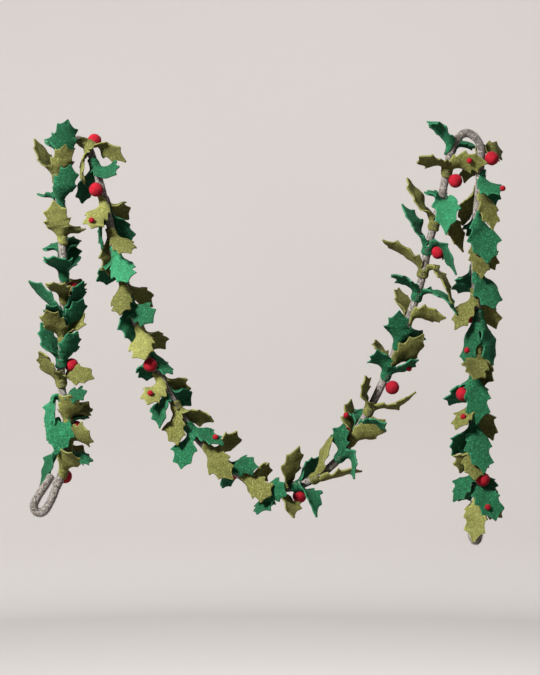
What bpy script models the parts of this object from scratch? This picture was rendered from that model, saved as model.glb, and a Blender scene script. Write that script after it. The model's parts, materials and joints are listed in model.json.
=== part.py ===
"""Felt holly garland: a felted wool rope, sewn into a hanging loop at each end, that carries
double felt leaves folded round it and felt ball berries.

Metres, +Z up. The garland hangs in the XZ plane and its face looks along -Y. The origin is the
middle of the rope at the top of the left hold, where the rope goes over what holds it.
"""

import math

import bmesh
import bpy
from mathutils import Vector

MM = 0.001
FRONT = Vector((0.0, -1.0, 0.0))
UP = Vector((0.0, 0.0, 1.0))

# The rope
ROPE_DIAMETER = 14.4 * MM
ROPE_RADIUS = ROPE_DIAMETER / 2
ROPE_BEVEL_STEPS = 2
STEPS_A_SPAN = 2
SEAM_GAP = 0.3 * MM

# The felt sheet that the leaves are cut from
FELT_THICKNESS = 3.0 * MM
WAIST_HALF_WIDTH = 4.5 * MM
WAIST_GAP = 0.8 * MM
WAIST_RADIUS = ROPE_RADIUS + WAIST_GAP + FELT_THICKNESS / 2
WAIST_TURN = 7.0 * MM
WAIST_STEP = math.radians(30)
TURN_HALFWAY = math.radians(45)
TURN_SHARE = 0.45
WAIST_MARGIN_BEFORE = 6.0 * MM
WAIST_MARGIN_AFTER = 10.0 * MM

# A leaf leaves the waist along the rope and then bends towards its tip, and its face turns
# between two shares of its length
LEAVE_ALONG = 0.16
LEAVE_OUT = 0.08
BLADE_BEND = 0.60
TWIST_START, TWIST_END = 0.08, 0.56

# The berries
BERRY_DIAMETER = 25.0 * MM
BERRY_GAP = 0.05 * MM
BERRY_SEAT = ROPE_RADIUS + BERRY_DIAMETER / 2 + BERRY_GAP
BERRY_SEGMENTS = 12
BERRY_RINGS = 8

# Points of a hanging loop, from the seam down and round to the sewn end, in mm, and the share
# of its eye's extra width that each point moves by
LOOP_COLUMNS = ("across", "down", "share")
LOOP_ROUTE = (
    (1.5, 16.0, 0.0),
    (4.0, 34.0, 0.0),
    (4.5, 50.0, 0.0),
    (4.0, 60.0, 0.0),
    (0.6, 68.1, 0.0),
    (-7.5, 71.5, 0.4),
    (-15.6, 68.1, 0.8),
    (-19.0, 60.0, 1.0),
    (-19.5, 48.0, 1.0),
    (-18.5, 32.0, 0.9),
    (-17.2, 14.0, 0.4),
    (-16.8, -1.0, 0.0),
)

# How far each loop leans in the picture, how far it spins about its own length, and how much
# wider its eye is than the table says
LEFT_LOOP_TILT = math.radians(-29)
LEFT_LOOP_TURN = 0.0
LEFT_LOOP_EXTRA = 0.0
RIGHT_LOOP_TILT = math.radians(-1)
RIGHT_LOOP_TURN = math.radians(-75)
RIGHT_LOOP_EXTRA = 6.0

# Middle of the rope from the left seam, over both holds, to the right seam, in mm
ROPE_COLUMNS = ("x", "z")
ROPE_ROUTE = (
    (-31, -612),
    (-18, -559),
    (-19, -496),
    (-29, -429),
    (-24, -334),
    (-25, -226),
    (-31, -123),
    (-35, -58),
    (-28, -30),
    (-16, -7),
    (0, 0),
    (16, -8),
    (27, -30),
    (43, -84),
    (61, -159),
    (86, -267),
    (122, -366),
    (164, -456),
    (214, -534),
    (274, -591),
    (340, -626),
    (405, -621),
    (466, -580),
    (509, -516),
    (547, -444),
    (581, -359),
    (614, -275),
    (634, -186),
    (655, -109),
    (667, -51),
    (677, -10),
    (701, 12),
    (725, -9),
    (726, -55),
    (719, -145),
    (716, -238),
    (723, -343),
    (715, -442),
    (715, -523),
    (721, -604),
    (722, -652),
)

# Half outline of a holly blade: share of its length, share of its half width
OUTLINE_COLUMNS = ("along", "wide")
BLADE_OUTLINE = (
    (0.00, 0.20),
    (0.10, 0.38),
    (0.20, 0.64),
    (0.31, 0.90),
    (0.41, 0.74),
    (0.56, 1.00),
    (0.66, 0.70),
    (0.80, 0.76),
    (0.88, 0.44),
    (1.00, 0.07),
)

# A row for each double leaf: its felt, the place of its waist, then how far each tip lies from
# there to the right, up and towards the front, how far the blade arches up, the blade's width in
# mm and how much of its face each blade turns to the front, less than 0 where its back shows
PAIR_COLUMNS = (
    "felt",
    "x",
    "z",
    "right_1",
    "up_1",
    "out_1",
    "arch_1",
    "right_2",
    "up_2",
    "out_2",
    "arch_2",
    "width",
    "face_1",
    "face_2",
)
LEAF_PAIRS = (
    ("olive", -27, -600, 27, 45, 45, 0, 32, 46, -55, 0, 52, 1.0, 0.3),
    ("emerald", -22, -580, -60, -57, -40, 12, 51, 5, -12, 4, 42, -0.6, 0.3),
    ("olive", -18, -552, 45, 30, 45, 0, -31, 44, -45, 0, 50, 1.0, 0.4),
    ("emerald", -26, -465, -30, -68, 5, 22, 38, 10, 42, 14, 44, 0.4, 0.3),
    ("olive", -29, -440, -38, 56, 30, 4, 60, 12, 22, 8, 42, 0.1, 0.7),
    ("emerald", -28, -404, -34, 76, -4, 0, 30, 60, 15, 0, 44, 0.45, 0.4),
    ("olive", -25, -363, -24, 54, 46, 0, 34, 66, -12, 0, 44, 0.9, 0.4),
    ("emerald", -24, -323, -57, 72, 5, 0, 37, 68, 10, 0, 42, 0.15, 0.3),
    ("emerald", -24, -248, -10, 34, 64, 0, 8, 67, -50, 0, 54, 0.0, 0.3),
    ("olive", -28, -174, -10, 66, 42, 0, 27, 36, -45, 0, 46, 1.0, 0.5),
    ("emerald", -32, -120, 24, 65, 45, 0, -35, 31, -55, 0, 48, 1.0, 0.3),
    ("olive", -35, -71, -44, 72, -6, 0, 18, 58, 30, 0, 42, 0.3, 0.8),
    ("emerald", -31, -37, 22, 70, 40, 0, -18, 50, -45, 0, 50, 1.0, 0.4),
    ("olive", 14, -6, 78, -40, 20, 8, -5, -77, 15, 0, 42, -0.35, 0.1),
    ("emerald", 29, -42, 47, -31, 55, 0, -18, -74, -15, 0, 44, 0.6, 0.25),
    ("olive", 50, -106, -18, -57, 45, 0, 37, -27, -58, 0, 46, 1.0, 0.5),
    ("emerald", 70, -206, 27, -61, 50, 0, -23, -56, -50, 0, 52, 1.0, 0.3),
    ("emerald", 94, -289, 48, -42, 40, 0, 10, -80, -10, 0, 50, 1.0, 0.25),
    ("olive", 112, -339, 14, -52, 50, 0, 45, -40, -45, 0, 50, 1.0, 0.4),
    ("olive", 148, -424, -16, -49, 46, 0, 52, -40, -45, 0, 48, 1.0, 0.35),
    ("olive", 178, -480, 3, -68, 25, 0, 63, -34, 4, 4, 44, 0.6, -0.5),
    ("emerald", 202, -516, -12, -75, 20, 0, 60, -37, 20, 4, 46, 0.7, 0.1),
    ("olive", 232, -555, 48, -53, 40, 0, 60, 14, -45, 0, 50, 1.0, 0.4),
    ("olive", 299, -608, 50, -28, 45, 0, 50, 10, -50, 0, 48, 1.0, 0.4),
    ("olive", 367, -629, 38, 77, 30, 0, 30, -44, 48, 4, 44, -0.7, -0.5),
    ("emerald", 391, -625, 44, 52, -42, 0, 44, -44, 64, 36, 44, 0.2, -0.45),
    ("olive", 427, -611, 32, 86, 5, 0, 86, 14, 10, 8, 42, 0.15, 0.05),
    ("olive", 490, -550, 2, 76, -30, 0, 59, 39, 35, 0, 48, 0.1, 0.8),
    ("olive", 528, -482, -12, 66, 30, 0, 90, 28, 5, -6, 44, -0.5, 0.05),
    ("emerald", 554, -426, -16, 52, 42, 0, 60, 22, 15, 4, 44, 0.5, 0.15),
    ("olive", 565, -403, -25, 48, -30, 0, 63, 60, 18, 0, 46, 0.1, 0.6),
    ("emerald", 577, -374, 2, 62, 42, 0, 50, 34, -30, 0, 48, 1.0, 0.5),
    ("emerald", 612, -282, -47, 38, 30, 16, 79, -24, 20, 22, 42, 0.15, 0.2),
    ("olive", 622, -242, -66, 68, 5, 0, 61, -50, 20, 26, 42, 0.25, 0.15),
    ("emerald", 631, -201, -37, 88, 5, 0, 50, -44, 35, 26, 44, -0.45, -0.4),
    ("olive", 641, -156, -46, 88, 5, 0, 60, -44, -5, 24, 44, -0.4, -0.7),
    ("emerald", 654, -112, 8, -53, 42, 20, 2, 40, -52, 0, 50, 1.0, 0.0),
    ("olive", 666, -55, -52, 20, 38, 0, 64, 10, 35, 14, 46, 0.3, 0.7),
    ("emerald", 674, -22, -46, 48, 36, 26, 46, 10, -50, 10, 44, 0.35, 0.3),
    ("emerald", 726, -59, 28, -45, 45, 0, 33, -57, -42, 0, 42, 0.6, 0.2),
    ("olive", 724, -86, -29, -65, -30, 0, 23, -77, 25, 0, 42, 0.05, 0.5),
    ("emerald", 720, -132, 6, -40, -60, 0, 14, -95, 22, 0, 54, 0.3, 0.9),
    ("emerald", 716, -231, -23, -52, -45, 0, 31, -79, 30, 0, 50, 0.5, 0.8),
    ("olive", 718, -274, -41, -68, 25, 0, 42, -64, -40, 0, 44, 0.6, 0.5),
    ("emerald", 721, -316, -18, -91, 5, 0, 30, -90, 5, 0, 46, 0.4, 0.45),
    ("emerald", 717, -422, 0, -89, 30, 0, -38, -65, -36, 0, 54, 1.0, 0.3),
    ("emerald", 715, -508, 12, -92, 46, 0, -38, -62, -18, 0, 52, 1.0, 0.5),
    ("olive", 717, -548, 4, -70, 42, 0, -24, -54, -32, 0, 46, 1.0, 0.5),
    ("emerald", 720, -590, -44, -61, 5, 0, 32, -70, -32, 0, 46, 0.4, 0.4),
    ("olive", 722, -633, -14, -84, 35, 0, 48, -48, -30, 0, 42, 1.0, 0.7),
)

# A row for each berry: its middle in mm, and whether it sits on the front or the back of the rope
BERRY_COLUMNS = ("x", "z", "side")
BERRIES = (
    (36, -91, "front"),
    (134, -407, "front"),
    (413, -639, "back"),
    (568, -451, "front"),
    (680, -77, "front"),
    (746, -31, "front"),
    (728, -610, "front"),
)

# Colour, roughness and metallic value of each material
MATERIALS = {
    "rope": ((0.34, 0.29, 0.25, 1.0), 0.95, 0.0),
    "emerald": ((0.02, 0.19, 0.09, 1.0), 0.92, 0.0),
    "olive": ((0.25, 0.27, 0.06, 1.0), 0.92, 0.0),
    "berry": ((0.45, 0.01, 0.03, 1.0), 0.9, 0.0),
}


def clear_scene():
    for obj in list(bpy.data.objects):
        bpy.data.objects.remove(obj, do_unlink=True)


def new_collection(name):
    collection = bpy.data.collections.new(name)
    bpy.context.scene.collection.children.link(collection)
    return collection


def new_material(name):
    colour, roughness, metallic = MATERIALS[name]
    material = bpy.data.materials.new(name + "_felt")
    material.use_nodes = True
    shader = material.node_tree.nodes["Principled BSDF"]
    shader.inputs["Base Color"].default_value = colour
    shader.inputs["Roughness"].default_value = roughness
    shader.inputs["Metallic"].default_value = metallic
    return material


def rows(columns, table):
    return [dict(zip(columns, row)) for row in table]


def smooth_curve(points, steps):
    """Points on a Catmull-Rom curve through the given ones, steps to a span."""
    ends = [2 * points[0] - points[1], *points, 2 * points[-1] - points[-2]]
    found = []
    for a, b, c, d in zip(ends, ends[1:], ends[2:], ends[3:]):
        for step in range(steps):
            t = step / steps
            found.append(
                0.5
                * (
                    2 * b
                    + (c - a) * t
                    + (2 * a - 5 * b + 4 * c - d) * t**2
                    + (3 * b - a - 3 * c + d) * t**3
                )
            )
    found.append(points[-1])
    return found


def loop_points(seam, tilt, turn, extra):
    """The loop's own points, hung from its seam."""
    down = Vector((math.sin(tilt), 0.0, -math.cos(tilt)))
    flat = Vector((math.cos(tilt), 0.0, math.sin(tilt)))
    across = flat * math.cos(turn) - FRONT * math.sin(turn)
    found = []
    for row in rows(LOOP_COLUMNS, LOOP_ROUTE):
        sideways = row["across"] - extra * row["share"]
        found.append(seam + (across * sideways + down * row["down"]) * MM)
    return found


def rope_runs():
    """The polylines of the left loop, the rope and the right loop, parted at the two seams."""
    route = [
        Vector((row["x"] * MM, 0.0, row["z"] * MM))
        for row in rows(ROPE_COLUMNS, ROPE_ROUTE)
    ]
    left = loop_points(route[0], LEFT_LOOP_TILT, LEFT_LOOP_TURN, LEFT_LOOP_EXTRA)
    right = loop_points(route[-1], RIGHT_LOOP_TILT, RIGHT_LOOP_TURN, RIGHT_LOOP_EXTRA)
    line = smooth_curve([*reversed(left), *route, *right], STEPS_A_SPAN)
    first_seam = len(left) * STEPS_A_SPAN
    last_seam = len(line) - 1 - len(right) * STEPS_A_SPAN

    def parted(a, b):
        """The two ends of a seam in the middle of the segment from a to b."""
        middle = (line[a] + line[b]) / 2
        half_gap = (line[b] - line[a]).normalized() * SEAM_GAP / 2
        return middle - half_gap, middle + half_gap

    left_end, rope_start = parted(first_seam - 1, first_seam)
    rope_end, right_start = parted(last_seam, last_seam + 1)
    return (
        [*line[:first_seam], left_end],
        [rope_start, *line[first_seam : last_seam + 1], rope_end],
        [right_start, *line[last_seam + 1 :]],
    )


def make_tube(name, points, collection, material):
    curve = bpy.data.curves.new(name, "CURVE")
    curve.dimensions = "3D"
    curve.bevel_depth = ROPE_RADIUS
    curve.bevel_resolution = ROPE_BEVEL_STEPS
    curve.use_fill_caps = True
    spline = curve.splines.new("POLY")
    spline.points.add(len(points) - 1)
    for target, point in zip(spline.points, points):
        target.co = (*point, 1.0)
    obj = bpy.data.objects.new(name, curve)
    obj.data.materials.append(material)
    collection.objects.link(obj)
    return obj


def nearest_on(line, x, z):
    """(place, direction) of the rope nearest to a place in the picture, clear of its corners."""
    wanted = Vector((x * MM, 0.0, z * MM))
    best = None
    for a, b in zip(line, line[1:]):
        direction = (b - a).normalized()
        length = (b - a).length
        along = min(max((wanted - a).dot(direction), 0.0), length)
        away = (wanted - a - direction * along).length
        if best is None or away < best[0]:
            best = (away, a, direction, along, length)
    _, start, direction, along, length = best
    low, high = WAIST_MARGIN_BEFORE, length - WAIST_MARGIN_AFTER
    along = min(max(along, low), high) if low < high else (low + high) / 2
    return start + direction * along, direction


class RopeFrame:
    """Directions round the rope at one place. Azimuth 0 looks to the front."""

    def __init__(self, place, tangent):
        self.place = place
        self.tangent = tangent
        self.side = tangent.cross(FRONT)

    def radial(self, azimuth):
        return FRONT * math.cos(azimuth) + self.side * math.sin(azimuth)

    def round_the_rope(self, azimuth):
        return self.tangent.cross(self.radial(azimuth))

    def azimuth_of(self, offset):
        return math.atan2(offset.dot(self.side), offset.dot(FRONT))


def bezier(p0, p1, p2, p3, t):
    """Point and direction on a cubic Bezier curve."""
    s = 1 - t
    point = p0 * s**3 + p1 * 3 * s * s * t + p2 * 3 * s * t * t + p3 * t**3
    slope = (p1 - p0) * s * s + (p2 - p1) * 2 * s * t + (p3 - p2) * t * t
    return point, slope.normalized()


def blade_rings(frame, tip_offset, arch, width, face):
    """(middle, direction, width direction, half width) from the waist out to the tip."""
    azimuth = frame.azimuth_of(tip_offset)
    root = (
        frame.place
        + frame.tangent * WAIST_TURN
        + frame.radial(azimuth) * WAIST_RADIUS
    )
    tip = frame.place + tip_offset
    length = (tip - root).length
    outward = frame.radial(azimuth)
    leave = root + (frame.tangent * LEAVE_ALONG + outward * LEAVE_OUT) * length
    bend = root.lerp(tip, BLADE_BEND) + UP * arch
    natural = frame.round_the_rope(azimuth)
    sense = math.copysign(1.0, FRONT.cross(tip - root).dot(natural) * face)
    rings = []
    for row in rows(OUTLINE_COLUMNS, BLADE_OUTLINE):
        middle, direction = bezier(root, leave, bend, tip, row["along"])
        turning = (row["along"] - TWIST_START) / (TWIST_END - TWIST_START)
        settled = min(max(turning, 0.0), 1.0)
        aim = direction.lerp((tip - root).normalized(), settled).normalized()
        turned = FRONT.cross(aim).normalized() * sense
        across = (natural - aim * natural.dot(aim)).normalized()
        across = across.slerp(turned, abs(face) * settled, turned)
        rings.append((middle, direction, across, width / 2 * row["wide"]))
    rings[0] = (*rings[0][:3], WAIST_HALF_WIDTH)
    return rings


def waist_rings(frame, azimuth_1, azimuth_2):
    """Rings of the band that folds round the rope from the first blade to the second."""
    sweep = math.remainder(azimuth_2 - azimuth_1, math.tau)
    sense = math.copysign(1.0, sweep)
    turn_angle = min(WAIST_TURN / WAIST_RADIUS, abs(sweep) * TURN_SHARE)
    arc = abs(sweep) - 2 * turn_angle
    steps = max(1, math.ceil(arc / WAIST_STEP))
    rings = []

    def add(azimuth, along, slope):
        radial = frame.radial(azimuth)
        round_it = frame.round_the_rope(azimuth) * sense
        middle = frame.place + frame.tangent * along + radial * WAIST_RADIUS
        direction = round_it * math.cos(slope) + frame.tangent * math.sin(slope)
        across = radial.cross(direction)
        rings.append((middle, direction, across, WAIST_HALF_WIDTH))

    into_turn = sense * turn_angle * (1 - math.sin(TURN_HALFWAY))
    turn_along = WAIST_TURN * (1 - math.cos(TURN_HALFWAY))
    add(azimuth_1 + into_turn, turn_along, -TURN_HALFWAY)
    for step in range(steps + 1):
        add(azimuth_1 + sense * (turn_angle + arc * step / steps), 0.0, 0.0)
    add(azimuth_2 - into_turn, turn_along, TURN_HALFWAY)
    return rings


def pair_rings(row, line):
    """All rings of a double leaf, from its first tip through its waist to its second tip."""
    frame = RopeFrame(*nearest_on(line, row["x"], row["z"]))
    tips = [
        Vector((row["right_" + n], -row["out_" + n], row["up_" + n])) * MM for n in "12"
    ]
    width = row["width"] * MM
    first, second = (
        blade_rings(frame, tip, row["arch_" + n] * MM, width, row["face_" + n])
        for tip, n in zip(tips, "12")
    )
    azimuths = [frame.azimuth_of(tip) for tip in tips]
    found = [
        (middle, -direction, across, half)
        for middle, direction, across, half in reversed(first)
    ]
    found += waist_rings(frame, *azimuths)
    found += [
        (middle, direction, -across, half) for middle, direction, across, half in second
    ]
    return found


def make_leaf_pair(name, row, line, collection, material):
    """A double leaf as one felt strip, lofted through its rings."""
    mesh = bmesh.new()
    loops = []
    for middle, direction, across, half in pair_rings(row, line):
        lift = direction.cross(across).normalized() * FELT_THICKNESS / 2
        corners = (
            middle + across * half + lift,
            middle - across * half + lift,
            middle - across * half - lift,
            middle + across * half - lift,
        )
        loops.append([mesh.verts.new(corner) for corner in corners])
    for near, far in zip(loops, loops[1:]):
        for i, j in ((0, 1), (1, 2)):
            mesh.faces.new((near[i], near[j], far[j]))
            mesh.faces.new((near[i], far[j], far[i]))
        for i, j in ((2, 3), (3, 0)):
            mesh.faces.new((near[i], near[j], far[i]))
            mesh.faces.new((near[j], far[j], far[i]))
    mesh.faces.new(loops[0])
    mesh.faces.new(reversed(loops[-1]))
    bmesh.ops.recalc_face_normals(mesh, faces=mesh.faces)
    data = bpy.data.meshes.new(name)
    mesh.to_mesh(data)
    mesh.free()
    obj = bpy.data.objects.new(name, data)
    obj.data.materials.append(material)
    collection.objects.link(obj)
    return obj


def make_berry(name, row, line, collection, material):
    """A felt ball that sits against the rope."""
    wanted = Vector((row["x"] * MM, 0.0, row["z"] * MM))
    frame = RopeFrame(*nearest_on(line, row["x"], row["z"]))
    sideways = (wanted - frame.place).dot(frame.side)
    sideways = min(max(sideways, -BERRY_SEAT), BERRY_SEAT)
    depth = math.sqrt(BERRY_SEAT**2 - sideways**2)
    sign = 1.0 if row["side"] == "front" else -1.0
    mesh = bmesh.new()
    bmesh.ops.create_uvsphere(
        mesh,
        u_segments=BERRY_SEGMENTS,
        v_segments=BERRY_RINGS,
        radius=BERRY_DIAMETER / 2,
    )
    data = bpy.data.meshes.new(name)
    mesh.to_mesh(data)
    mesh.free()
    data.shade_smooth()
    obj = bpy.data.objects.new(name, data)
    obj.location = frame.place + frame.side * sideways + FRONT * depth * sign
    obj.data.materials.append(material)
    collection.objects.link(obj)
    return obj


def main():
    clear_scene()
    garland = new_collection("Felt holly garland")
    materials = {name: new_material(name) for name in MATERIALS}
    left_loop, rope, right_loop = rope_runs()
    make_tube("end_loop_left", left_loop, garland, materials["rope"])
    make_tube("rope", rope, garland, materials["rope"])
    make_tube("end_loop_right", right_loop, garland, materials["rope"])
    for number, row in enumerate(rows(PAIR_COLUMNS, LEAF_PAIRS), 1):
        name = f"leaf_pair_{number:02d}"
        make_leaf_pair(name, row, rope, garland, materials[row["felt"]])
    for number, row in enumerate(rows(BERRY_COLUMNS, BERRIES), 1):
        make_berry(f"berry_{number:02d}", row, rope, garland, materials["berry"])


main()
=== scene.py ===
"""Dresses the felt holly garland: a felted wool rope with a sewn loop at each end, double felt
leaves folded round it, felt balls, small felt beads and the sewing thread.

Metres, +Z up. The garland's face looks along -Y. Tables are in mm, each with named columns.
"""

import json
import math
import random

import bpy
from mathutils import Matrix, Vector, noise

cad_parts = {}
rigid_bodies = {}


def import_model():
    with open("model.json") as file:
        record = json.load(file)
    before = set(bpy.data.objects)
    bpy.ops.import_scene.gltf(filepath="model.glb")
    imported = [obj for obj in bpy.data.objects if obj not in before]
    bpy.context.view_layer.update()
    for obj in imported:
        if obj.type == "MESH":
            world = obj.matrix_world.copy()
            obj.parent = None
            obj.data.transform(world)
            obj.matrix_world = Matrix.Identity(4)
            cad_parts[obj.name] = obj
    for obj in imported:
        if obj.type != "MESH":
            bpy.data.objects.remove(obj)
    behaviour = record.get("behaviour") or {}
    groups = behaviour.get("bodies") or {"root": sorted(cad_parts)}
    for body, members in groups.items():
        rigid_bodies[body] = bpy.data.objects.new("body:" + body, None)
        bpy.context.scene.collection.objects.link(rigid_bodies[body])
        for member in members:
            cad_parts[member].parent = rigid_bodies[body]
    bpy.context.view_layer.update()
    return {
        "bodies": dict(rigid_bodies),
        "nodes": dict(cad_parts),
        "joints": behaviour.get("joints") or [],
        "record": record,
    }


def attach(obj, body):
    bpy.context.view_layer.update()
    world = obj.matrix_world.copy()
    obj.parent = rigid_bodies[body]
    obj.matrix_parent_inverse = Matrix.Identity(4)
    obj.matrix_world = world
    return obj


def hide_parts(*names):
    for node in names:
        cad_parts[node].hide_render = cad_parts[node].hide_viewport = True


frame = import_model()

MM = 0.001
FRONT = Vector((0.0, -1.0, 0.0))
UP = Vector((0.0, 0.0, 1.0))

# The camera stands where the photograph's does: level, square to the garland
CAMERA_AIM = Vector((0.3474, 0.0, -0.3564))
CAMERA_DISTANCE = 2.869
CAMERA_LENS = 85.0
SENSOR_WIDTH = 36.0

# The rope
ROPE_DIAMETER = 14.4 * MM
ROPE_RADIUS = ROPE_DIAMETER / 2
COARSE_STEPS = 2
FINE_STEPS = 16
SEAM_GAP = 0.3 * MM
ROPE_SIDES = 22
LUMP_SIZE = 24 * MM
LUMP_HEIGHT = 0.55 * MM
TUFT_SIZE = 5 * MM
TUFT_HEIGHT = 0.35 * MM
LAY_PITCH = 90 * MM
END_ROUNDING = 0.8 * ROPE_RADIUS
FIBRE_STRETCH = 0.5

# The felt sheet and how a double leaf is folded from it
FELT_THICKNESS = 3.0 * MM
WAIST_HALF_WIDTH = 6.5 * MM
WAIST_GAP = 0.8 * MM
WAIST_SQUEEZE = 0.7
WAIST_RADIUS = ROPE_RADIUS + WAIST_GAP + FELT_THICKNESS / 2
WAIST_TURN = 7.0 * MM
WAIST_STEP = math.radians(12)
TURN_SHARE = 0.45
WAIST_MARGIN_BEFORE = 6.0 * MM
WAIST_MARGIN_AFTER = 10.0 * MM
LEAVE_ALONG = 0.16
LEAVE_OUT = 0.08
BLADE_BEND = 0.60
TWIST_START, TWIST_END = 0.08, 0.56
BLADE_STEPS = 44
LEAST_HALF_WIDTH = 0.7 * MM
RIM_PROUD = 0.35 * MM

# The berries and beads
BERRY_DIAMETER = 25.0 * MM
BERRY_SEAT = ROPE_RADIUS + BERRY_DIAMETER / 2 + 0.05 * MM
BEAD_DIAMETER = 10.0 * MM
BALL_SWELL = 0.035
BALL_DIMPLE = 0.012

LOOP_COLUMNS = ("across", "down", "share")
LOOP_ROUTE = (
    (1.5, 16.0, 0.0),
    (4.0, 34.0, 0.0),
    (4.5, 50.0, 0.0),
    (4.0, 60.0, 0.0),
    (0.6, 68.1, 0.0),
    (-7.5, 71.5, 0.4),
    (-15.6, 68.1, 0.8),
    (-19.0, 60.0, 1.0),
    (-19.5, 48.0, 1.0),
    (-18.5, 32.0, 0.9),
    (-17.2, 14.0, 0.4),
    (-16.8, -1.0, 0.0),
)
LEFT_LOOP_TILT = math.radians(-29)
LEFT_LOOP_TURN = 0.0
LEFT_LOOP_EXTRA = 0.0
RIGHT_LOOP_TILT = math.radians(-1)
RIGHT_LOOP_TURN = math.radians(-75)
RIGHT_LOOP_EXTRA = 6.0

ROPE_COLUMNS = ("x", "z")
ROPE_ROUTE = (
    (-31, -612),
    (-18, -559),
    (-19, -496),
    (-29, -429),
    (-24, -334),
    (-25, -226),
    (-31, -123),
    (-35, -58),
    (-28, -30),
    (-16, -7),
    (0, 0),
    (16, -8),
    (27, -30),
    (43, -84),
    (61, -159),
    (86, -267),
    (122, -366),
    (164, -456),
    (214, -534),
    (274, -591),
    (340, -626),
    (405, -621),
    (466, -580),
    (509, -516),
    (547, -444),
    (581, -359),
    (614, -275),
    (634, -186),
    (655, -109),
    (667, -51),
    (677, -10),
    (701, 12),
    (725, -9),
    (726, -55),
    (719, -145),
    (716, -238),
    (723, -343),
    (715, -442),
    (715, -523),
    (721, -604),
    (722, -652),
)

# Spikes of a holly blade: where each stands along the blade, its share of the half width, and how
# deep the cut behind it dips below a straight line
SPIKE_COLUMNS = ("along", "wide", "dip")
BLADE_SPIKES = (
    (0.00, 0.36, 0.00),
    (0.09, 0.66, 0.00),
    (0.29, 0.99, 0.06),
    (0.54, 1.10, 0.22),
    (0.79, 0.86, 0.24),
    (1.00, 0.05, 0.14),
)

# How uneven the scissors leave the spikes between the root and the tip
INNER_SPIKES = (0.2, 0.9)
SPIKE_WIDTHS = (0.82, 1.10)
SPIKE_SHIFTS = (-0.045, 0.045)
DIP_DEPTHS = (0.7, 1.15)
SPIKE_REACH = 0.035

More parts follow.
